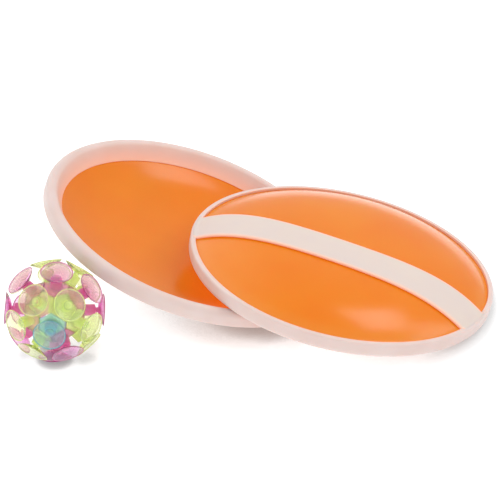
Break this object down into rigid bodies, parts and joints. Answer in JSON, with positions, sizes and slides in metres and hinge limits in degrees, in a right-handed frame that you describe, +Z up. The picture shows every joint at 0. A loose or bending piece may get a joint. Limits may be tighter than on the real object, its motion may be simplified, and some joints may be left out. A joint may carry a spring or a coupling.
{
  "type": "suction catch ball set",
  "caption": "Catch game of round dished paddles with a soft rim and a back strap, lying one on the other beside a ball made of suction cups.",
  "frame": {"origin": "middle of the set's outline on the ground it lies on", "axes": "+Z up, +X from the open paddle towards the upturned one, -Y towards the front of the set, where the ball lies"},
  "size_m": [0.295, 0.2148, 0.0683],
  "materials": {
    "dish": "glossy orange moulded sheet",
    "rim": "satin off-white soft plastic",
    "strap": "satin off-white soft band",
    "cup_lime": "clear lime soft vinyl, glossy",
    "cup_magenta": "clear magenta soft vinyl, glossy",
    "cup_teal": "clear teal soft vinyl, glossy"
  },
  "bodies": {
    "root": {"left_dish": "dish", "left_rim": "rim", "left_hand_strap": "strap", "right_dish": "dish", "right_rim": "rim", "right_hand_strap": "strap", "cup_lime_01": "cup_lime", "cup_lime_02": "cup_lime", "cup_lime_03": "cup_lime", "cup_lime_04": "cup_lime", "cup_lime_05": "cup_lime", "cup_lime_06": "cup_lime", "cup_lime_07": "cup_lime", "cup_lime_08": "cup_lime", "cup_lime_09": "cup_lime", "cup_lime_10": "cup_lime", "cup_lime_11": "cup_lime", "cup_lime_12": "cup_lime", "cup_lime_13": "cup_lime", "cup_lime_14": "cup_lime", "cup_magenta_01": "cup_magenta", "cup_magenta_02": "cup_magenta", "cup_magenta_03": "cup_magenta", "cup_magenta_04": "cup_magenta", "cup_magenta_05": "cup_magenta", "cup_magenta_06": "cup_magenta", "cup_magenta_07": "cup_magenta", "cup_magenta_08": "cup_magenta", "cup_magenta_09": "cup_magenta", "cup_teal_01": "cup_teal"}
  },
  "joints": []
}
